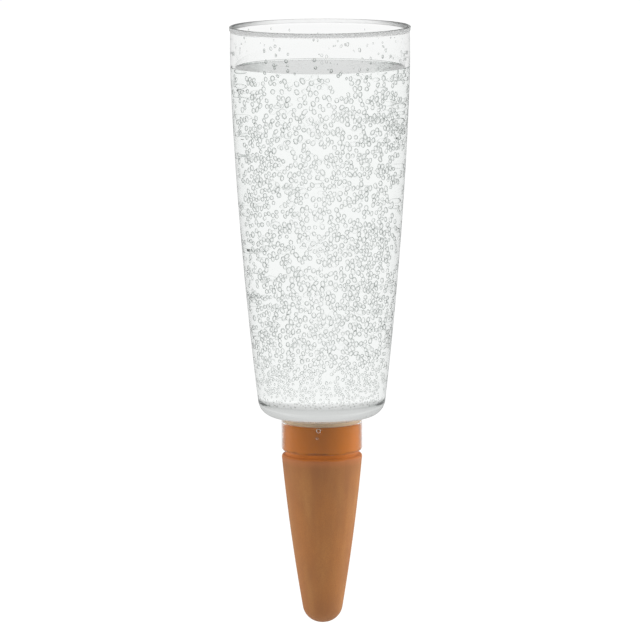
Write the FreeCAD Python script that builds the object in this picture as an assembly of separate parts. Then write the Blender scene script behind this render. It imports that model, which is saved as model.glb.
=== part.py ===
import FreeCAD, Part
import os

# Self watering spike: an open clear cup that plugs onto the neck of a hollow clay cone.
# Millimetres, +Z up. The origin is on the axis at the top of the clay's shoulder, the soil line.

# Clay cone, outside
cone_length = 95.3          # soil line to tip
shoulder_radius = 22.35     # cone at the soil line, before the shoulder is rounded
tip_radius = 9.5            # cone at the tip, before the tip is rounded
cone_bow = 1.0              # how far the side stands out from a straight taper at half height
tip_rounding = 10.5
shoulder_rounding = 1.6
neck_radius = 20.2
neck_height = 17.7          # soil line to the clay's mouth
neck_root_rounding = 0.4
mouth_chamfer = 0.6

# Clay cone, bore
bore_mouth_radius = 15.6
bore_end_radius = 6.0
bore_bow = 1.4
tip_wall = 7.0              # clay left below the bore
bore_end_rounding = 4.5

# Seal ring on the clay's mouth, with a small hole below the cup's outlet
seal_thickness = 2.4
seal_outer_radius = 19.9
seal_inner_radius = 4.0
seal_rounding = 0.5

# Cup
cup_height = 215.0          # underside of the base to the top of the lip
foot_radius = 34.1          # wall at the underside of the base, before the corner is rounded
mouth_radius = 48.8         # wall where the flare turns into the nearly straight mouth
rim_radius = 48.9           # wall at the lip
mouth_height = 32.0         # nearly straight mouth, up to the top of the lip
wall_bow = 1.85             # how far the flare stands out from a straight taper at its middle
mouth_bow = 0.22            # the same for the mouth, so that it runs on smoothly from the flare
wall_thickness = 2.4
foot_rounding = 9.4         # outside of the corner between wall and base
inside_rounding = 4.0       # inside of the same corner
floor_thickness = 1.8

# Lip of the cup
lip_height = 2.4
lip_outside = 0.6           # how far the lip stands out from the wall
lip_rounding = 0.55         # outer edges of the lip
lip_slope_height = 2.1      # the inner edge slopes outwards over this height
lip_slope_width = 1.85

# Collar under the cup, and the outlet through its ceiling
collar_wall = 1.9
neck_clearance = 0.3        # round the clay's neck
collar_gap = 2.3            # end of the collar above the clay's shoulder
collar_end_rounding = 1.4
collar_root_rounding = 0.8
ceiling_thickness = 1.3     # ceiling of the collar to the underside of the base
outlet_radius = 3.2
outlet_rounding = 0.5

# Sizes that follow from the ones above
ceiling_z = neck_height + seal_thickness
base_z = ceiling_z + ceiling_thickness
floor_z = base_z + floor_thickness
rim_z = base_z + cup_height
collar_inner_radius = neck_radius + neck_clearance
collar_outer_radius = collar_inner_radius + collar_wall

near_share = 0.01           # of the wall, within which an edge counts as found
axis_point = FreeCAD.Vector(0, 0, 0)
axis_direction = FreeCAD.Vector(0, 0, 1)


def place(radius, z):
    return FreeCAD.Vector(radius, 0, z)


def line(start, end):
    return Part.LineSegment(place(*start), place(*end)).toShape()


def bowed_line(start, end, bow):
    """A shallow arc that stands out from the straight line by bow at its middle."""
    if bow == 0:
        return line(start, end)
    middle = ((start[0] + end[0]) / 2 + bow, (start[1] + end[1]) / 2)
    return Part.Arc(place(*start), place(*middle), place(*end)).toShape()


def turned(edges):
    """A solid turned about the axis from its closed half outline."""
    outline = Part.Wire(Part.__sortEdges__(edges))
    return Part.makeSolid(Part.Face(outline).revolve(axis_point, axis_direction, 360))


def tapered(low_radius, low_z, high_radius, high_z, bow):
    """A solid round cone whose side bows out between two heights."""
    return turned([
        line((0, low_z), (low_radius, low_z)),
        bowed_line((low_radius, low_z), (high_radius, high_z), bow),
        line((high_radius, high_z), (0, high_z)),
        line((0, high_z), (0, low_z)),
    ])


def disc(radius, low_z, high_z):
    return Part.makeCylinder(radius, high_z - low_z, place(0, low_z), axis_direction)


def ring(inner_radius, outer_radius, low_z, high_z):
    return disc(outer_radius, low_z, high_z).cut(disc(inner_radius, low_z, high_z))


def rims(shape, radius, z):
    """The circular edges of that radius at that height."""
    near = wall_thickness * near_share
    found = []
    for edge in shape.Edges:
        curve = edge.Curve
        if isinstance(curve, Part.Circle) and abs(curve.Radius - radius) < near and abs(curve.Center.z - z) < near:
            found.append(edge)
    return found


def make_clay_cone():
    clay = tapered(tip_radius, -cone_length, shoulder_radius, 0, cone_bow)
    clay = clay.makeFillet(tip_rounding, rims(clay, tip_radius, -cone_length))
    clay = clay.makeFillet(shoulder_rounding, rims(clay, shoulder_radius, 0))
    clay = clay.fuse(disc(neck_radius, -shoulder_rounding, neck_height)).removeSplitter()
    clay = clay.makeFillet(neck_root_rounding, rims(clay, neck_radius, 0))
    clay = clay.makeChamfer(mouth_chamfer, rims(clay, neck_radius, neck_height))
    bore_end_z = tip_wall - cone_length
    bore = tapered(bore_end_radius, bore_end_z, bore_mouth_radius, neck_height, bore_bow)
    bore = bore.makeFillet(bore_end_rounding, rims(bore, bore_end_radius, bore_end_z))
    return clay.cut(bore)


def make_seal_ring():
    seal = ring(seal_inner_radius, seal_outer_radius, neck_height, ceiling_z)
    corners = []
    for radius in (seal_inner_radius, seal_outer_radius):
        for z in (neck_height, ceiling_z):
            corners += rims(seal, radius, z)
    return seal.makeFillet(seal_rounding, corners)


def cup_form(inset):
    """The cup as a solid form, with its wall moved inwards by inset and its corner left sharp."""
    foot = (foot_radius - inset, base_z)
    mouth = (mouth_radius - inset, rim_z - mouth_height)
    rim = (rim_radius - inset, rim_z)
    return turned([
        line((0, base_z), foot),
        bowed_line(foot, mouth, wall_bow),
        bowed_line(mouth, rim, mouth_bow),
        line(rim, (0, rim_z)),
        line((0, rim_z), (0, base_z)),
    ])


def make_cup_outside():
    body = cup_form(0)
    body = body.makeFillet(foot_rounding, rims(body, foot_radius, base_z))
    collar = disc(collar_outer_radius, collar_gap, floor_z)
    body = body.fuse(collar).removeSplitter()
    body = body.makeFillet(collar_root_rounding, rims(body, collar_outer_radius, base_z))
    return body.makeFillet(collar_end_rounding, rims(body, collar_outer_radius, collar_gap))


def make_cup_hollow():
    hollow = cup_form(wall_thickness)
    hollow = hollow.cut(disc(foot_radius + rim_radius, base_z, floor_z))
    edges = [edge for edge in hollow.Edges if abs(edge.BoundBox.ZMax - floor_z) < wall_thickness * near_share]
    return hollow.makeFillet(inside_rounding, edges)


def make_lip():
    outer_radius = rim_radius + lip_outside
    low_z = rim_z - lip_height
    lip = ring(rim_radius - wall_thickness / 2, outer_radius, low_z, rim_z)
    return lip.makeFillet(lip_rounding, rims(lip, outer_radius, low_z) + rims(lip, outer_radius, rim_z))


def make_lip_slope():
    """The cone that takes the inner edge off the lip."""
    high_radius = rim_radius - wall_thickness + lip_slope_width
    spread = lip_slope_width / lip_slope_height
    low_z = rim_z - lip_slope_height - wall_thickness
    return tapered(high_radius - spread * (rim_z - low_z), low_z, high_radius, rim_z, 0)


def make_reservoir_cup():
    cup = make_cup_outside().cut(make_cup_hollow())
    cup = cup.fuse(make_lip()).removeSplitter().cut(make_lip_slope())
    cup = cup.cut(disc(collar_inner_radius, collar_gap, ceiling_z))
    cup = cup.cut(disc(outlet_radius, ceiling_z, floor_z))
    return cup.makeFillet(outlet_rounding, rims(cup, outlet_radius, floor_z))


os.makedirs("parts", exist_ok=True)
nodes = {
    "clay_cone": make_clay_cone(),
    "seal_ring": make_seal_ring(),
    "reservoir_cup": make_reservoir_cup(),
}
for name, shape in nodes.items():
    box = shape.BoundBox
    print(name, "valid", shape.isValid(), "solids", len(shape.Solids), "volume", round(shape.Volume),
          "z", round(box.ZMin, 2), round(box.ZMax, 2), "r", round(box.XMax, 2))
    shape.exportStep("parts/" + name + ".step")
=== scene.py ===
import math
import random

import bpy
from mathutils import Matrix, Vector


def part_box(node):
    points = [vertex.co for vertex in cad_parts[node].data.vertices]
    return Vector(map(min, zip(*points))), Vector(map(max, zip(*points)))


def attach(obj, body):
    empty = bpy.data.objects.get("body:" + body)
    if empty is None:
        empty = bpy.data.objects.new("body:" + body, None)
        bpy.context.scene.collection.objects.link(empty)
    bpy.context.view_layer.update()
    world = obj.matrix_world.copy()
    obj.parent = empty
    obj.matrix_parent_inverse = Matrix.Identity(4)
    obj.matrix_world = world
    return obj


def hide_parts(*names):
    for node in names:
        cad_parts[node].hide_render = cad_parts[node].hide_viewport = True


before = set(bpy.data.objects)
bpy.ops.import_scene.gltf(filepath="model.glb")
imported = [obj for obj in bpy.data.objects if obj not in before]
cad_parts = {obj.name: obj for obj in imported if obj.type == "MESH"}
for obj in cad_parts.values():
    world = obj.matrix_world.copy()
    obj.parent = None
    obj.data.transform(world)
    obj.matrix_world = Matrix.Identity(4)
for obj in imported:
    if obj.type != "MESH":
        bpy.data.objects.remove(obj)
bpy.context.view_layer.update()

mm = 0.001

# Heights that the frame gives, in millimetres above the soil line
coneLow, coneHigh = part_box("clay_cone")
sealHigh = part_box("seal_ring")[1]
cupLow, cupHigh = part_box("reservoir_cup")
tipZ = coneLow.z / mm
mouthZ = coneHigh.z / mm
ceilingZ = sealHigh.z / mm
collarEndZ = cupLow.z / mm
rimZ = cupHigh.z / mm

runGap = 0.3                     # between one run of an outline and the next
cornerGap = 0.1                  # the same, where two runs meet in a sharp corner


# Outlines: lists of (radius, height) points, in millimetres

def arcPoints(centre, radius, startDegrees, endDegrees, steps):
    points = []
    for i in range(steps + 1):
        angle = math.radians(startDegrees + (endDegrees - startDegrees) * i / steps)
        points.append((centre[0] + radius * math.cos(angle), centre[1] + radius * math.sin(angle)))
    return points


def bowedRadius(startRadius, endRadius, bow, share):
    return startRadius + (endRadius - startRadius) * share + 4 * bow * share * (1 - share)


cup = {
    "baseZ": 21.4,
    "floorZ": 23.2,
    "footRadius": 34.1,
    "mouthRadius": 48.8,
    "rimRadius": 48.9,
    "mouthHeight": 32.0,
    "wallBow": 1.85,
    "mouthBow": 0.22,
    "wall": 2.4,
    "footRounding": 9.4,
    "insideRounding": 4.0,
    "lipHeight": 2.4,
    "lipOutside": 0.6,
    "lipRounding": 0.55,
    "lipSlopeHeight": 2.1,       # the inside edge of the lip slopes outwards
    "lipSlopeWidth": 1.85,
    "collarRadius": 22.4,
    "collarBore": 20.5,
    "collarEndRounding": 1.4,
    "collarRootRounding": 0.8,
    "outletRadius": 3.2,
    "outletRounding": 0.5,
    "steps": 160,
    "color": (0.995, 1.0, 0.997),
    # painted shade: the plastic greys a little where it is seen edge-on
    "edgeShadeColor": (0.965, 0.975, 0.97),
    "ior": 1.49,
    "mirror": 0.3,               # share of the plain reflection off its faces
    "lampShare": 1.0,            # lamp light that comes through, the rest is shadow
    "edgeShadeFrom": 0.35,            # how far edge-on the painted edge shade starts
    "cutRoughness": 0.85,        # lip's slope and the collar's end
    "clearFrom": 0.5,            # how far edge-on the collar's wall starts to clear
    "clearShare": 0.9,           # how clear it gets, seen quite edge-on
}


def wallRadius(z):  # outside of the cup's wall at a height
    seamZ = rimZ - cup["mouthHeight"]
    if z < seamZ:
        share = (z - cup["baseZ"]) / (seamZ - cup["baseZ"])
        return bowedRadius(cup["footRadius"], cup["mouthRadius"], cup["wallBow"], share)
    share = (z - seamZ) / (rimZ - seamZ)
    return bowedRadius(cup["mouthRadius"], cup["rimRadius"], cup["mouthBow"], share)


def shares(steps, pinch=0.12):  # from 0 to 1, with a point close to each end to keep the corners crisp
    return [0, pinch / steps] + [i / steps for i in range(1, steps)] + [1 - pinch / steps, 1]


def straight(start, end, steps=4):
    return [(start[0] + (end[0] - start[0]) * share, start[1] + (end[1] - start[1]) * share)
            for share in shares(steps)]


def curved(radiusAt, inset, startZ, endZ, steps):
    return [(radiusAt(startZ + (endZ - startZ) * share) - inset, startZ + (endZ - startZ) * share)
            for share in shares(steps)]


def footArc(inset, bottomZ, rounding, steps):  # corner between floor and wall, from the floor up
    centreZ = bottomZ + rounding
    lean = math.atan(wallRadius(centreZ + 0.5) - wallRadius(centreZ - 0.5))
    touchZ = centreZ - rounding * math.sin(lean)
    centreRadius = wallRadius(touchZ) - inset - rounding * math.cos(lean)
    return arcPoints((centreRadius, centreZ), rounding, -90, -math.degrees(lean), steps)


# Modelling: an outline is drawn by extruding one vertex, then turned about the axis

def drawOutline(name, outline):
    bpy.ops.object.select_all(action="DESELECT")
    bpy.ops.mesh.primitive_plane_add(size=mm)
    piece = bpy.context.object
    piece.name = name
    bpy.ops.object.mode_set(mode="EDIT")
    bpy.ops.mesh.merge(type="CENTER")
    here = (0.0, 0.0)
    for i, point in enumerate(outline):
        step = ((point[0] - here[0]) * mm, 0, (point[1] - here[1]) * mm)
        if i == 0:
            bpy.ops.transform.translate(value=step)
        else:
            bpy.ops.mesh.extrude_region_move(TRANSFORM_OT_translate={"value": step})
        here = point
    return piece


def turnOutline(name, outline, steps):
    piece = drawOutline(name, outline)
    bpy.ops.mesh.select_all(action="SELECT")
    bpy.ops.mesh.spin(steps=steps, angle=math.tau, center=(0, 0, 0), axis=(0, 0, 1))
    bpy.ops.mesh.select_all(action="SELECT")
    bpy.ops.mesh.remove_doubles(threshold=0.001 * mm)
    bpy.ops.mesh.normals_make_consistent(inside=False)
    bpy.ops.object.mode_set(mode="OBJECT")
    bpy.ops.object.shade_smooth()
    print("turned", name, len(piece.data.polygons), "faces")
    return piece


def insideOutline():  # up the outlet, over the floor and up the wall to the lip
    outlet = cup["outletRadius"]
    soft = cup["outletRounding"]
    floorZ = cup["floorZ"]
    corner = footArc(cup["wall"], floorZ, cup["insideRounding"], 14)
    slopeLowZ = rimZ - cup["lipSlopeHeight"]
    slopeFoot = wallRadius(slopeLowZ) - cup["wall"]
    slopeTop = slopeFoot + cup["lipSlopeWidth"]
    outline = straight((outlet, ceilingZ), (outlet, floorZ - soft))
    outline += arcPoints((outlet + soft, floorZ - soft), soft, 180, 90, 4)
    outline += straight((outlet + soft + cornerGap, floorZ), corner[0], 8)
    outline += corner
    outline += curved(wallRadius, cup["wall"], corner[-1][1] + runGap, slopeLowZ, 44)
    outline += straight((slopeFoot + 0.08, slopeLowZ + cornerGap), (slopeTop - 0.04, rimZ - 0.04), 3)
    return outline


def outsideOutline():  # round the lip and down the wall to the collar
    collarRoot = cup["collarRadius"] + cup["collarRootRounding"]
    corner = footArc(0, cup["baseZ"], cup["footRounding"], 16)
    lipLowZ = rimZ - cup["lipHeight"]
    rounding = cup["lipRounding"]
    lip = cup["rimRadius"] + cup["lipOutside"] - rounding
    outline = arcPoints((lip, rimZ - rounding), rounding, 90, 0, 6)
    outline += arcPoints((lip, lipLowZ + rounding), rounding, 0, -60, 5)
    outline += curved(wallRadius, 0, lipLowZ - runGap, corner[-1][1] + runGap, 44)
    outline += reversed(corner)
    outline += straight(corner[0], (collarRoot, cup["baseZ"]), 3)[1:-1]
    return outline


def collarOutline():  # down the collar's outside, up its bore and in to the outlet
    outer = cup["collarRadius"]
    bore = cup["collarBore"]
    root = cup["collarRootRounding"]
    end = cup["collarEndRounding"]
    rootZ = cup["baseZ"] - root
    outline = arcPoints((outer + root, rootZ), root, 90, 180, 6)
    outline += straight((outer, rootZ), (outer, collarEndZ + end), 8)[1:-1]
    outline += arcPoints((outer - end, collarEndZ + end), end, 0, -90, 8)
    outline += [(bore + 0.15, collarEndZ), (bore, collarEndZ + 0.15)]
    outline += straight((bore, collarEndZ + 0.2), (bore, ceilingZ - 0.2), 8)
    outline += straight((bore - 0.2, ceilingZ), (cup["outletRadius"] + cornerGap, ceilingZ), 4)
    return outline


def makeCup():
    outline = insideOutline() + outsideOutline() + collarOutline()
    outline.append(outline[0])
    return turnOutline("reservoir_cup_clear", outline, cup["steps"])


# The cut faces at both ends take the second material, and the collar's outside the third
def markFaces(piece):
    slopeLow = (rimZ - cup["lipSlopeHeight"]) * mm
    slopeOutside = (cup["rimRadius"] + cup["lipSlopeWidth"] - cup["wall"]) * mm
    cutHigh = (collarEndZ + 0.1) * mm
    collarHigh = (cup["baseZ"] - 0.5) * mm
    collarInside = (cup["collarRadius"] - 1.3) * mm
    for face in piece.data.polygons:
        z = face.center.z
        radius = math.hypot(face.center.x, face.center.y)
        if z < cutHigh or (z > slopeLow and radius < slopeOutside):
            face.material_index = 1
        elif z < collarHigh and radius > collarInside:
            face.material_index = 2


water = {
    "levelZ": 214.0,
    "meniscus": 0.6,             # how far it climbs the wall
    "meniscusWidth": 2.0,
    "meniscusSteps": 8,
    "overlap": 0.25,             # into the plastic, so that no air shows between them
    "color": (0.99, 1.0, 0.995),
    "ior": 1.33,
    "mirror": 0.3,
    "lampShare": 1.0,
}


def surfaceOutline(edge):  # down the meniscus and level to the axis
    levelZ = water["levelZ"]
    width = water["meniscusWidth"]
    steps = water["meniscusSteps"]
    outline = []
    for i in range(1, steps + 1):
        climb = water["meniscus"] * (1 - i / steps) ** 2.5
        outline.append((edge - width * i / steps, levelZ + climb))
    return outline + straight((edge - width - runGap, levelZ), (0, levelZ), 5)


def makeWater():
    over = water["overlap"]
    inset = cup["wall"] - over
    outlet = cup["outletRadius"] + over
    bottomZ = cup["floorZ"] - over
    innerArc = footArc(inset, bottomZ, cup["insideRounding"], 14)
    topZ = water["levelZ"] + water["meniscus"]
    edge = wallRadius(topZ) - cup["wall"]
    hole = seal["inner"] + 0.1
    ceiling = ceilingZ + film["touch"]
    outline = straight((0, mouthZ + over), (hole, mouthZ + over), 2)
    outline += straight((hole, mouthZ + over + cornerGap), (hole, ceiling), 2)
    outline += straight((hole - cornerGap, ceiling), (outlet, ceiling), 2)
    outline += straight((outlet, ceilingZ + 0.05), (outlet, bottomZ - runGap), 3)
    outline += straight((outlet + runGap, bottomZ), innerArc[0], 8)
    outline += innerArc
    outline += curved(wallRadius, inset, innerArc[-1][1] + runGap, topZ, 40)
    outline += [(edge, topZ)] + surfaceOutline(edge)
    return turnOutline("water_fill", outline, cup["steps"])


film = {
    "overlap": 0.1,              # into the clay and into the plastic
    "touch": 0.01,               # into the collar's ceiling
    "aboveCollarEnd": 1.0,
    "meniscus": 0.2,
}


def makeFilm():  # the water that creeps up between the clay's neck and the collar
    outer = cup["collarBore"] + film["overlap"]
    neck = clay["neckRadius"] - film["overlap"]
    ring = seal["outer"] - 0.05
    low = collarEndZ + film["aboveCollarEnd"]
    ceiling = ceilingZ + film["touch"]
    outline = straight((neck, low), (outer, low - film["meniscus"]), 3)
    outline += straight((outer, low), (outer, ceiling), 8)
    outline += straight((outer - cornerGap, ceiling), (ring, ceiling), 2)
    outline += straight((ring, ceilingZ - cornerGap), (ring, mouthZ), 2)
    outline += straight((neck, mouthZ - 1), (neck, low), 8)
    return turnOutline("water_film", outline, cup["steps"])


clay = {
    "tipRadius": 9.5,
    "shoulderRadius": 22.35,
    "bow": 1.0,
    "tipRounding": 10.5,
    "shoulderRounding": 1.6,
    "neckRadius": 20.2,
    "rootRounding": 0.4,
    "chamfer": 0.6,
    "boreMouthRadius": 15.6,
    "boreEndRadius": 6.0,
    "boreBow": 1.4,
    "tipWall": 7.0,
    "steps": 160,
    "darkColor": (0.262, 0.112, 0.048),
    "midColor": (0.38, 0.155, 0.05),
    "paleColor": (0.46, 0.23, 0.078),
    "dampColor": (0.43, 0.15, 0.06),
    "wetColor": (0.5, 0.15, 0.025),
    # painted light: wet clay under the water film, raised brighter to make up for the light that hardly
    # reaches it inside the collar
    "soakedColorWithPaintedLight": (0.75, 0.222, 0.016),
    "wetAboveZ": -0.8,
    "dampDepth": 5.0,            # below the wet part
    "sheen": 0.07,
    "gloss": 0.15,
    "dryRoughness": 0.88,
    "wetRoughness": 0.45,
    "patchScale": 60,
    "streakScale": 120,
    "grainScale": 1500,
    "streakShare": 0.65,
    "grainShare": 0.35,
    "endsFrom": 28.0,            # from the cone's middle, where it starts to get darker
    "endsTo": 48.0,
    "endsShare": 0.45,
    "dampShare": 0.6,
    "wetPatchShade": 0.85,
    "wobble": 2.0,               # of the edges of the damp and wet parts
    "bumpStrength": 0.35,
    "bumpDepth": 0.25,           # millimetres
}


def coneRadius(z):
    return bowedRadius(clay["tipRadius"], clay["shoulderRadius"], clay["bow"], (z - tipZ) / -tipZ)


def boreRadius(z):
    boreEndZ = tipZ + clay["tipWall"]
    share = (z - boreEndZ) / (mouthZ - boreEndZ)
    return bowedRadius(clay["boreEndRadius"], clay["boreMouthRadius"], clay["boreBow"], share)


def makeClay():
    corner = clay["tipRounding"]
    top = clay["shoulderRounding"]
    root = clay["rootRounding"]
    chamfer = clay["chamfer"]
    neck = clay["neckRadius"]
    boreEnd = clay["boreEndRadius"]
    lean = math.atan(coneRadius(tipZ + corner + 0.5) - coneRadius(tipZ + corner - 0.5))
    touchZ = tipZ + corner * (1 - math.sin(lean))
    tipArc = arcPoints((coneRadius(touchZ) - corner * math.cos(lean), tipZ + corner), corner, -90,
                       -math.degrees(lean), 24)
    topLean = math.atan(coneRadius(0) - coneRadius(-1))
    edgeZ = -top * (1 + math.sin(topLean))
    shoulderArc = arcPoints((coneRadius(edgeZ) - top * math.cos(topLean), -top), top,
                            -math.degrees(topLean), 90, 10)
    boreEndZ = tipZ + clay["tipWall"]
    outline = [(0, tipZ), (1, tipZ)] + tipArc
    outline += curved(coneRadius, 0, tipArc[-1][1] + runGap, edgeZ - 0.2, 60)
    outline += shoulderArc
    outline += arcPoints((neck + root, root), root, -90, -180, 5)
    outline += straight((neck, root + cornerGap), (neck, mouthZ - chamfer), 10)
    outline += straight((neck - chamfer, mouthZ), (clay["boreMouthRadius"], mouthZ), 2)
    outline += curved(boreRadius, 0, mouthZ - 0.2, boreEndZ + 4, 24)
    outline += [(boreEnd * 0.8, boreEndZ + 1), (boreEnd * 0.4, boreEndZ), (0, boreEndZ)]
    return turnOutline("clay_cone_terracotta", outline, clay["steps"])


seal = {
    "outer": 19.9,
    "inner": 4.0,
    "rounding": 0.5,
    "pressed": 0.02,             # into the collar's ceiling
    "steps": 128,
    "color": (0.86, 0.62, 0.4),
    "roughness": 0.45,
}


def makeSeal():
    low = mouthZ
    high = ceilingZ + seal["pressed"]
    outer = seal["outer"]
    inner = seal["inner"]
    r = seal["rounding"]
    outline = arcPoints((outer - r, low + r), r, -90, 0, 4)
    outline += arcPoints((outer - r, high - r), r, 0, 90, 4)
    outline += arcPoints((inner + r, high - r), r, 90, 180, 4)
    outline += arcPoints((inner + r, low + r), r, 180, 270, 4)
    outline.append(outline[0])
    return turnOutline("seal_ring_soft", outline, seal["steps"])


# Air bubbles that cling to the wetted wall: small hollows in the water
bubbles = {
    "count": 2600,
    "tries": 60000,
    "largest": 1.45,
    "smallest": 1.05,
    "tallest": 1.5,              # height over width
    "wide": 1.0,                 # width over depth
    "segments": 7,
    "rings": 5,
    "spacing": 1.03,
    "besideSpacing": 1.06,
    "besideShare": 0.45,         # of them that sit next to another one
    "shareAtBack": 0.25,
    "frontFrom": 0.25,           # sine of the angle in front of the sides, where their number rises
    "frontFade": 0.3,
    "smallBelowShare": 0.17,     # of the height, where they are smaller
    "smallestShare": 0.35,       # of their size, at the floor
    "fewerAboveShare": 0.7,      # of the height
    "missingAtTop": 0.35,
    "clearance": 0.1,
    "lowZ": 30.5,
    "belowLevel": 2.0,
    "seed": 7,
    "shade": 1.0,                # painted shade of the outlines, larger is darker
    "palest": 0.6,
    "darkest": 1.2,
    "middleShade": 0.8,
    "sideShade": 1.1,            # more painted shade towards the sides of the cup
    "shadeAtBack": 0.4,
    "oneSided": 0.75,            # how much darker the painted shade of an outline is on the side away from the axis
    "tilt": 0.4,
    "ior": 1.02,
    "mirror": 1.0,
    "color": (1.0, 1.0, 1.0),
    # painted shade: the colour of the bubbles' dark outlines
    "edgeShadeColor": (0.54, 0.56, 0.55),
    "edgeShadeTo": 0.45,              # how far edge-on the painted edge shade is reached
    "lampShare": 1.0,
}

# Small air bubbles in the plastic above the water line
seeds = {
    "count": 60,
    "smallest": 0.3,
    "largest": 0.6,
    "lowZ": 216.0,
    "highZ": 233.0,
    "inWall": 1.2,
    "tallest": 2.0,
    "wide": 1.0,
    "shade": 3.0,
    "seed": 21,
}

# Larger ones round the water line
lineBubbles = {
    "count": 64,
    "smallest": 0.65,
    "largest": 1.05,
    "lowZ": 210.0,
    "highZ": 223.0,
    "inWall": 1.2,
    "tallest": 1.5,
    "wide": 1.0,
    "shade": 3.0,
    "seed": 5,
}

# Two flat ones in the collar's wall
collarBubbles = {
    "places": ((-1.8, 16.2, 0.825), (-2.6, 12.0, 0.44)),  # x, height above the soil line and half the depth
    "tallest": 1.0,
    "wide": 1.7,
    "shade": 1.0,
}


def bubbleBall(name):
    bpy.ops.object.select_all(action="DESELECT")
    bpy.ops.mesh.primitive_uv_sphere_add(segments=bubbles["segments"], ring_count=bubbles["rings"], radius=1)
    ball = bpy.context.object
    ball.name = name
    bpy.ops.object.mode_set(mode="EDIT")
    bpy.ops.mesh.select_all(action="SELECT")
    bpy.ops.mesh.flip_normals()
    bpy.ops.object.mode_set(mode="OBJECT")
    bpy.ops.object.shade_smooth()
    return ball


def missingShare(share):  # near the top of the water some are left out
    start = bubbles["fewerAboveShare"]
    return bubbles["missingAtTop"] * max(0, share - start) / (1 - start)


def frontShare(angle):  # they are fewer at the back
    inFront = (-math.sin(angle) - bubbles["frontFrom"]) / bubbles["frontFade"]
    return max(bubbles["shareAtBack"], min(1, inFront))


def grownShare(share):  # near the floor they are smaller
    smallest = bubbles["smallestShare"]
    return smallest + (1 - smallest) * min(1, share / bubbles["smallBelowShare"])


def hasRoom(spot, radius, placed):
    return all(abs(other.z - spot.z) > size + radius
               or (other - spot).length > (size + radius) * bubbles["spacing"]
               for other, size in placed)


def bubbleSpots():
    rng = random.Random(bubbles["seed"])
    lowZ = bubbles["lowZ"]
    tall = water["levelZ"] - bubbles["belowLevel"] - lowZ
    placed = []
    for attempt in range(bubbles["tries"]):
        if len(placed) >= bubbles["count"]:
            break
        share = rng.random()
        angle = rng.uniform(0, math.tau)
        size = rng.uniform(bubbles["smallest"], bubbles["largest"])
        if placed and rng.random() < bubbles["besideShare"]:
            beside, otherSize = rng.choice(placed)
            turn = rng.uniform(0, math.tau)
            step = (size + otherSize) * bubbles["besideSpacing"]
            angle = math.atan2(beside.y, beside.x) + step * math.cos(turn) / beside.xy.length
            share = (beside.z + step * math.sin(turn) - lowZ) / tall
        if share < 0 or share > 1 or rng.random() < missingShare(share):
            continue
        if rng.random() > frontShare(angle):
            continue
        z = lowZ + tall * share
        radius = size * grownShare(share)
        around = wallRadius(z) - cup["wall"] - radius - bubbles["clearance"]
        spot = Vector((around * math.cos(angle), around * math.sin(angle), z))
        if hasRoom(spot, radius, placed):
            placed.append((spot, radius))
    print("bubbles placed", len(placed), "after", attempt, "tries")
    return placed


def wallSpots(look):
    rng = random.Random(look["seed"])
    placed = []
    for i in range(look["count"]):
        z = rng.uniform(look["lowZ"], look["highZ"])
        angle = rng.uniform(0, math.tau)
        around = wallRadius(z) - look["inWall"]
        placed.append((Vector((around * math.cos(angle), around * math.sin(angle), z)),
                       rng.uniform(look["smallest"], look["largest"])))
    return placed


def collarSpots():
    around = (cup["collarRadius"] + cup["collarBore"]) / 2
    return [(Vector((x, -around, z)), radius) for x, z, radius in collarBubbles["places"]]


def copiesOf(ball, spots, look):
    made = []
    rng = random.Random(bubbles["seed"] + 1)
    for i, (spot, radius) in enumerate(spots):
        mesh = ball.data.copy()
        away = Vector((spot.x, spot.y * 0.3, rng.uniform(-20, 20))).normalized()
        aside = abs(spot.x) / cup["rimRadius"]
        # painted shade of each outline: darker towards the sides of the cup, paler at the back and darker on
        # one side
        shade = rng.uniform(bubbles["palest"], bubbles["darkest"]) * look["shade"]
        shade *= bubbles["middleShade"] + bubbles["sideShade"] * aside
        if spot.y > 0:
            shade *= bubbles["shadeAtBack"]
        ringShade = mesh.attributes.new("ringShade", "FLOAT", "POINT")
        for vertex, value in zip(mesh.vertices, ringShade.data):
            value.value = shade * (1 + bubbles["oneSided"] * vertex.co.dot(away))
        wide = look["wide"]
        tall = Matrix.Diagonal((wide, 1, wide * rng.uniform(1, look["tallest"]), 1))
        tilt = Matrix.Rotation(rng.gauss(0, bubbles["tilt"]), 4, Vector((spot.x, spot.y, 0)))
        mesh.transform(Matrix.Translation(spot * mm) @ Matrix.Scale(radius * mm, 4) @ tilt @ tall)
        item = bpy.data.objects.new("ball" + str(i), mesh)
        bpy.context.scene.collection.objects.link(item)
        made.append(item)
    return made


def joinInto(piece, parts):
    bpy.ops.object.select_all(action="DESELECT")
    for part in parts:
        part.select_set(True)
    piece.select_set(True)
    bpy.context.view_layer.objects.active = piece
    bpy.ops.object.join()


# Materials

def newMaterial(name, color, roughness):
    material = bpy.data.materials.new(name)
    material.use_nodes = True
    surface = material.node_tree.nodes["Principled BSDF"]
    surface.inputs["Base Color"].default_value = (*color, 1)
    surface.inputs["Roughness"].default_value = roughness
    return material, surface


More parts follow.
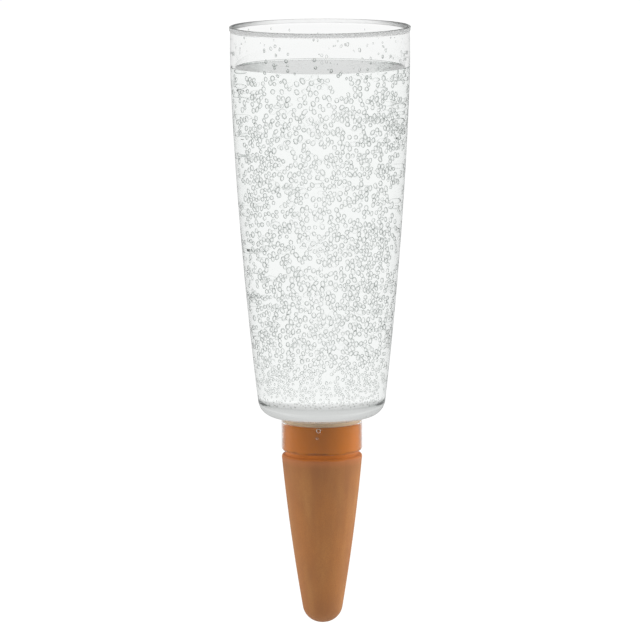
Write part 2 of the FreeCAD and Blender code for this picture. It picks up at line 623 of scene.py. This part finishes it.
def paintedEdgeShadeGroup():  # painted shade: a clear skin that is greyed where it is seen edge-on
    group = bpy.data.node_groups.new("paintedEdgeShade", "ShaderNodeTree")
    for name, kind in (("Facing", "Float"), ("Face Color", "Color"), ("Painted Edge Shade", "Color"),
                       ("Start", "Float"), ("End", "Float")):
        group.interface.new_socket(name, in_out="INPUT", socket_type="NodeSocket" + kind)
    group.interface.new_socket("Color", in_out="OUTPUT", socket_type="NodeSocketColor")
    nodes, links = group.nodes, group.links
    given, result = nodes.new("NodeGroupInput"), nodes.new("NodeGroupOutput")
    spread = nodes.new("ShaderNodeMapRange")
    spread.interpolation_type = "SMOOTHSTEP"
    mix = nodes.new("ShaderNodeMix")
    mix.data_type = "RGBA"
    links.new(given.outputs["Facing"], spread.inputs["Value"])
    links.new(given.outputs["Start"], spread.inputs["From Min"])
    links.new(given.outputs["End"], spread.inputs["From Max"])
    links.new(spread.outputs["Result"], mix.inputs["Factor"])
    links.new(given.outputs["Face Color"], mix.inputs["A"])
    links.new(given.outputs["Painted Edge Shade"], mix.inputs["B"])
    links.new(mix.outputs["Result"], result.inputs["Color"])
    return group


paintedEdgeShade = paintedEdgeShadeGroup()


def clearMaterial(name, look, start=0, end=1):
    material, surface = newMaterial(name, look["color"], 0.0)
    surface.inputs["IOR"].default_value = look["ior"]
    surface.inputs["Transmission Weight"].default_value = 1.0
    mirror = look["mirror"]
    surface.inputs["Specular Tint"].default_value = (mirror, mirror, mirror, 1)
    nodes, links = material.node_tree.nodes, material.node_tree.links
    # painted shade: the base colour greys where the face is seen edge-on
    if "edgeShadeColor" in look:
        weight = nodes.new("ShaderNodeLayerWeight")
        weight.inputs["Blend"].default_value = 0.5
        edgeShadeNode = nodes.new("ShaderNodeGroup")
        edgeShadeNode.node_tree = paintedEdgeShade
        edgeShadeNode.inputs["Face Color"].default_value = (*look["color"], 1)
        edgeShadeNode.inputs["Painted Edge Shade"].default_value = (*look["edgeShadeColor"], 1)
        edgeShadeNode.inputs["Start"].default_value = start
        edgeShadeNode.inputs["End"].default_value = end
        links.new(weight.outputs["Facing"], edgeShadeNode.inputs["Facing"])
        links.new(edgeShadeNode.outputs["Color"], surface.inputs["Base Color"])
    letLampsThrough(material, surface, look["lampShare"])
    return material


def letLampsThrough(material, surface, lampShare):  # clear pieces throw hardly any shadow
    nodes, links = material.node_tree.nodes, material.node_tree.links
    light = nodes.new("ShaderNodeLightPath")
    clearWay = nodes.new("ShaderNodeBsdfTransparent")
    clearWay.inputs["Color"].default_value = (lampShare, lampShare, lampShare, 1)
    mix = nodes.new("ShaderNodeMixShader")
    links.new(light.outputs["Is Shadow Ray"], mix.inputs["Fac"])
    links.new(surface.outputs[0], mix.inputs[1])
    links.new(clearWay.outputs[0], mix.inputs[2])
    links.new(mix.outputs[0], nodes["Material Output"].inputs["Surface"])


def clearAtEdge(material):  # seen edge-on, the collar's wall shows the backdrop beside the neck
    nodes, links = material.node_tree.nodes, material.node_tree.links
    weight = next(node for node in nodes if node.type == "LAYER_WEIGHT")
    shadowMix = next(node for node in nodes if node.type == "MIX_SHADER")
    mix = nodes.new("ShaderNodeMixShader")
    share = mapRange(nodes, links, weight.outputs["Facing"], cup["clearFrom"], 1, 0, cup["clearShare"])
    links.new(share, mix.inputs["Fac"])
    links.new(nodes["Principled BSDF"].outputs[0], mix.inputs[1])
    links.new(nodes.new("ShaderNodeBsdfTransparent").outputs[0], mix.inputs[2])
    links.new(mix.outputs[0], shadowMix.inputs[1])


def bubbleMaterial():
    material = clearMaterial("bubbleSkin", bubbles, 0, bubbles["edgeShadeTo"])
    nodes, links = material.node_tree.nodes, material.node_tree.links
    edgeShadeNode = next(node for node in nodes if node.type == "GROUP")
    weight = next(node for node in nodes if node.type == "LAYER_WEIGHT")
    # each bubble's painted outline shade is scaled by its ringShade
    attribute = nodes.new("ShaderNodeAttribute")
    attribute.attribute_name = "ringShade"
    shaded = mathNode(nodes, links, "MULTIPLY", weight.outputs["Facing"], attribute.outputs["Fac"])
    links.new(shaded, edgeShadeNode.inputs["Facing"])
    return material


def noiseNode(nodes, links, coords, scale, stretch=(1, 1, 1), detail=4.0):
    mapping = nodes.new("ShaderNodeMapping")
    mapping.inputs["Scale"].default_value = stretch
    links.new(coords, mapping.inputs["Vector"])
    noise = nodes.new("ShaderNodeTexNoise")
    noise.inputs["Scale"].default_value = scale
    noise.inputs["Detail"].default_value = detail
    links.new(mapping.outputs["Vector"], noise.inputs["Vector"])
    return noise.outputs["Fac"]


def feed(links, value, socket):  # a socket takes a link, a color or a plain number
    if isinstance(value, bpy.types.NodeSocket):
        links.new(value, socket)
    elif isinstance(value, tuple):
        socket.default_value = (*value, 1)
    else:
        socket.default_value = value


def mixNode(nodes, links, kind, factor, first, second):
    mix = nodes.new("ShaderNodeMix")
    mix.data_type = kind
    feed(links, factor, mix.inputs["Factor"])
    feed(links, first, mix.inputs["A"])
    feed(links, second, mix.inputs["B"])
    return mix.outputs["Result"]


def mixColor(nodes, links, factor, first, second):
    return mixNode(nodes, links, "RGBA", factor, first, second)


def mixFloat(nodes, links, factor, first, second):
    return mixNode(nodes, links, "FLOAT", factor, first, second)


def mapRange(nodes, links, value, low, high, toLow=0.0, toHigh=1.0):
    node = nodes.new("ShaderNodeMapRange")
    node.interpolation_type = "SMOOTHSTEP"
    node.inputs["From Min"].default_value = low
    node.inputs["From Max"].default_value = high
    node.inputs["To Min"].default_value = toLow
    node.inputs["To Max"].default_value = toHigh
    links.new(value, node.inputs["Value"])
    return node.outputs["Result"]


def mathNode(nodes, links, operation, first, second):
    node = nodes.new("ShaderNodeMath")
    node.operation = operation
    feed(links, first, node.inputs[0])
    feed(links, second, node.inputs[1])
    return node.outputs[0]


def dryClay(nodes, links, patches, streaks, grain, z):  # darker towards both ends of the cone
    patchy = mapRange(nodes, links, patches, 0.1, 0.7)
    body = mixColor(nodes, links, patchy, clay["darkColor"], clay["midColor"])
    streaky = mapRange(nodes, links, streaks, 0.3, 0.95, 0, clay["streakShare"])
    body = mixColor(nodes, links, streaky, body, clay["paleColor"])
    grainy = mapRange(nodes, links, grain, 0.3, 0.7, 0, clay["grainShare"])
    body = mixColor(nodes, links, grainy, body, clay["darkColor"])
    aboveMiddle = mathNode(nodes, links, "SUBTRACT", z, tipZ / 2 * mm)
    fromMiddle = mathNode(nodes, links, "ABSOLUTE", aboveMiddle, 0)
    atEnds = mapRange(nodes, links, fromMiddle, clay["endsFrom"] * mm, clay["endsTo"] * mm,
                      0, clay["endsShare"])
    return mixColor(nodes, links, atEnds, body, clay["darkColor"])


def wetClay(nodes, links, patches, height):  # a strong orange where water stands in the collar, made brighter under the water film as painted light
    shaded = tuple(clay["wetPatchShade"] * value for value in clay["wetColor"])
    patchy = mapRange(nodes, links, patches, 0.35, 0.68)
    body = mixColor(nodes, links, patchy, clay["wetColor"], shaded)
    filmZ = (collarEndZ + film["aboveCollarEnd"]) * mm
    # painted light: the clay under the film takes the brighter soaked colour
    soakedPaintedLight = mapRange(nodes, links, height, filmZ - 0.2 * mm, filmZ + 0.2 * mm)
    return mixColor(nodes, links, soakedPaintedLight, body, clay["soakedColorWithPaintedLight"])


def terracottaMaterial():
    material, surface = newMaterial("terracotta", clay["midColor"], clay["dryRoughness"])
    nodes, links = material.node_tree.nodes, material.node_tree.links
    coords = nodes.new("ShaderNodeTexCoord").outputs["Object"]
    split = nodes.new("ShaderNodeSeparateXYZ")
    links.new(coords, split.inputs["Vector"])
    z = split.outputs["Z"]
    patches = noiseNode(nodes, links, coords, clay["patchScale"], (1, 1, 0.5))
    streaks = noiseNode(nodes, links, coords, clay["streakScale"], (1, 1, 0.2))
    grain = noiseNode(nodes, links, coords, clay["grainScale"])
    uneven = mathNode(nodes, links, "SUBTRACT", streaks, 0.5)
    wobble = mathNode(nodes, links, "MULTIPLY", uneven, clay["wobble"] * mm)
    height = mathNode(nodes, links, "ADD", z, wobble)
    wetZ = clay["wetAboveZ"] * mm
    damp = mapRange(nodes, links, height, wetZ - clay["dampDepth"] * mm, wetZ, 0, clay["dampShare"])
    wet = mapRange(nodes, links, height, wetZ - 0.5 * mm, wetZ + 0.5 * mm)
    body = dryClay(nodes, links, patches, streaks, grain, z)
    body = mixColor(nodes, links, damp, body, clay["dampColor"])
    body = mixColor(nodes, links, wet, body, wetClay(nodes, links, patches, height))
    links.new(body, surface.inputs["Base Color"])
    rough = mapRange(nodes, links, wet, 0, 1, clay["dryRoughness"], clay["wetRoughness"])
    links.new(rough, surface.inputs["Roughness"])
    bump = nodes.new("ShaderNodeBump")
    bump.inputs["Strength"].default_value = clay["bumpStrength"]
    bump.inputs["Distance"].default_value = clay["bumpDepth"] * mm
    links.new(mathNode(nodes, links, "ADD", grain, streaks), bump.inputs["Height"])
    links.new(bump.outputs["Normal"], surface.inputs["Normal"])
    surface.inputs["Specular IOR Level"].default_value = clay["gloss"]
    surface.inputs["Sheen Weight"].default_value = clay["sheen"]
    return material


def dress(piece, *materials):
    piece.data.materials.clear()
    for material in materials:
        piece.data.materials.append(material)


cupPiece = makeCup()
plastic = clearMaterial("clearPlastic", cup, cup["edgeShadeFrom"])
cutPlastic = clearMaterial("cutLip", cup, cup["edgeShadeFrom"])
cutPlastic.node_tree.nodes["Principled BSDF"].inputs["Roughness"].default_value = cup["cutRoughness"]
collarPlastic = clearMaterial("collarOutside", cup, cup["edgeShadeFrom"])
clearAtEdge(collarPlastic)
dress(cupPiece, plastic, cutPlastic, collarPlastic)
markFaces(cupPiece)

waterPiece = makeWater()
dress(waterPiece, clearMaterial("water", water))
ball = bubbleBall("bubbleBall")
dress(ball, bubbleMaterial())
joinInto(waterPiece, copiesOf(ball, bubbleSpots(), bubbles))
for look in (seeds, lineBubbles):
    joinInto(cupPiece, copiesOf(ball, wallSpots(look), look))
dress(ball, plastic)
joinInto(cupPiece, copiesOf(ball, collarSpots(), collarBubbles))
bpy.data.objects.remove(ball)
print("bubbles joined into the water and the cup")

filmPiece = makeFilm()
dress(filmPiece, waterPiece.data.materials[0])

clayPiece = makeClay()
dress(clayPiece, terracottaMaterial())

sealPiece = makeSeal()
dress(sealPiece, newMaterial("softSeal", seal["color"], seal["roughness"])[0])
print("pieces dressed")

for piece, body, node, slot in (
    (cupPiece, "reservoir_cup", "reservoir_cup", "clear_plastic"),
    (waterPiece, "reservoir_cup", None, "clear_plastic"),
    (filmPiece, "reservoir_cup", None, "clear_plastic"),
    (clayPiece, "clay_cone", "clay_cone", "terracotta"),
    (sealPiece, "seal_ring", "seal_ring", "soft_seal"),
):
    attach(piece, body)
    if node:
        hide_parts(node)


# Studio

studio = {
    "floorWhite": 1.08,          # what the camera sees of the floor and the backdrop
    "horizon": 1.0,              # what clear pieces let through, level with the object
    "upper": 0.66,               # the same, a hand's breadth above the horizon
    "zenith": 0.42,              # the same, straight up
    "paintedShadowUnderneath": 0.52,          # painted shadow: what clear pieces let through, darker on the floor below the object
    "reflected": 0.5,            # what shiny faces mirror, as a share of that
    "ambient": 0.72,             # what lights the object from all round
    "upperBand": (0.03, 0.16),   # heights in the sky between horizon and upper
    "zenithBand": (0.3, 0.85),   # the same, between upper and zenith
    "floorBand": (0.25, 0.75),   # metres from the axis, over which the painted shadow fades out to the horizon
    "floorDrop": 160.0,          # floor below the tip
    "floorSize": 30,
    "floorColor": (0.9, 0.9, 0.9),
    "floorRoughness": 0.8,
    "floorGlow": 0.88,           # share of its own light in what is seen of the floor
    "bounces": 160,              # light runs far down inside the wall
    "lamps": (                   # name, place and size in metres, power
        ("softboxRight", (1.5, 0.35, 0.25), (1.2, 1.8), 31.0),
        ("softboxLeft", (-1.5, 0.35, 0.25), (1.2, 1.8), 19.0),
        ("softboxTop", (0, -0.4, 1.8), (1.4, 1.4), 4.0),
    ),
}


def makeWorld():
    world = bpy.data.worlds.new("studio")
    bpy.context.scene.world = world
    world.use_nodes = True
    nodes, links = world.node_tree.nodes, world.node_tree.links
    nodes.clear()
    output = nodes.new("ShaderNodeOutputWorld")
    light = nodes.new("ShaderNodeLightPath")
    split = nodes.new("ShaderNodeSeparateXYZ")
    links.new(nodes.new("ShaderNodeTexCoord").outputs["Generated"], split.inputs["Vector"])
    z = split.outputs["Z"]
    low = mapRange(nodes, links, z, *studio["upperBand"], studio["horizon"], studio["upper"])
    high = mapRange(nodes, links, z, *studio["zenithBand"], 1, studio["zenith"] / studio["upper"])
    through = mathNode(nodes, links, "MULTIPLY", low, high)
    mirrored = mathNode(nodes, links, "MULTIPLY", through, studio["reflected"])
    strength = mixFloat(nodes, links, light.outputs["Is Glossy Ray"], studio["ambient"], mirrored)
    strength = mixFloat(nodes, links, light.outputs["Is Transmission Ray"], strength, through)
    strength = mixFloat(nodes, links, light.outputs["Is Camera Ray"], strength, studio["floorWhite"])
    sky = nodes.new("ShaderNodeBackground")
    sky.inputs["Color"].default_value = (1, 1, 1, 1)
    links.new(strength, sky.inputs["Strength"])
    links.new(sky.outputs[0], output.inputs["Surface"])


def makeFloor():
    bpy.ops.object.select_all(action="DESELECT")
    floorZ = (tipZ - studio["floorDrop"]) * mm
    bpy.ops.mesh.primitive_plane_add(size=studio["floorSize"], location=(0, 0, floorZ))
    floor = bpy.context.object
    floor.name = "paleFloor"
    material, surface = newMaterial("paleFloor", studio["floorColor"], studio["floorRoughness"])
    nodes, links = material.node_tree.nodes, material.node_tree.links
    light = nodes.new("ShaderNodeLightPath")
    distance = nodes.new("ShaderNodeVectorMath")
    distance.operation = "LENGTH"
    links.new(nodes.new("ShaderNodeTexCoord").outputs["Object"], distance.inputs[0])
    # painted shadow: what clear pieces and shiny faces see of the floor is darker near the axis
    through = mapRange(nodes, links, distance.outputs["Value"], *studio["floorBand"],
                       studio["paintedShadowUnderneath"], studio["horizon"])
    mirrored = mathNode(nodes, links, "MULTIPLY", through, studio["reflected"])
    glow = mixFloat(nodes, links, light.outputs["Is Glossy Ray"], 0.0, mirrored)
    glow = mixFloat(nodes, links, light.outputs["Is Transmission Ray"], glow, through)
    glow = mixFloat(nodes, links, light.outputs["Is Camera Ray"], glow, studio["floorWhite"])
    emission = nodes.new("ShaderNodeEmission")
    emission.inputs["Color"].default_value = (1, 1, 1, 1)
    links.new(glow, emission.inputs["Strength"])
    seen = mathNode(nodes, links, "MAXIMUM", light.outputs["Is Camera Ray"], light.outputs["Is Glossy Ray"])
    seen = mathNode(nodes, links, "MAXIMUM", seen, light.outputs["Is Transmission Ray"])
    share = mathNode(nodes, links, "MULTIPLY", seen, studio["floorGlow"])
    mix = nodes.new("ShaderNodeMixShader")
    links.new(share, mix.inputs["Fac"])
    links.new(surface.outputs[0], mix.inputs[1])
    links.new(emission.outputs[0], mix.inputs[2])
    links.new(mix.outputs[0], nodes["Material Output"].inputs["Surface"])
    dress(floor, material)


def addLamp(name, place, size, power):
    bpy.ops.object.light_add(type="AREA", location=place)
    lamp = bpy.context.object
    lamp.name = name
    lamp.data.shape = "RECTANGLE"
    lamp.data.size = size[0]
    lamp.data.size_y = size[1]
    lamp.data.energy = power
    lamp.visible_glossy = False
    lamp.visible_transmission = False
    aim = Vector((0, 0, shot["aimZ"] * mm)) - Vector(place)
    lamp.rotation_euler = aim.to_track_quat("-Z", "Y").to_euler()


shot = {
    "pitch": 8.8,                # degrees down
    "roll": -0.28,               # the photographed spike leans a little
    "distance": 2328.0,
    "aimX": -0.73,
    "aimZ": 74.4,
    "lens": 237.9,
    "sensor": 36,
}


def makeCamera():
    pitch = math.radians(shot["pitch"])
    aim = Vector((shot["aimX"], 0, shot["aimZ"])) * mm
    back = Vector((0, -math.cos(pitch), math.sin(pitch)))
    bpy.ops.object.camera_add(location=aim + back * shot["distance"] * mm)
    camera = bpy.context.object
    level = (-back).to_track_quat("-Z", "Y").to_matrix().to_4x4()
    camera.rotation_euler = (level @ Matrix.Rotation(math.radians(shot["roll"]), 4, "Z")).to_euler()
    camera.data.lens = shot["lens"]
    camera.data.sensor_width = shot["sensor"]
    camera.data.clip_start = 0.05
    camera.data.clip_end = 100
    bpy.context.scene.camera = camera


makeWorld()
makeFloor()
for lamp in studio["lamps"]:
    addLamp(*lamp)
makeCamera()
print("studio ready")

scene = bpy.context.scene
scene.view_settings.view_transform = "Standard"
for kind in ("max_bounces", "transmission_bounces", "glossy_bounces"):
    setattr(scene.cycles, kind, studio["bounces"])
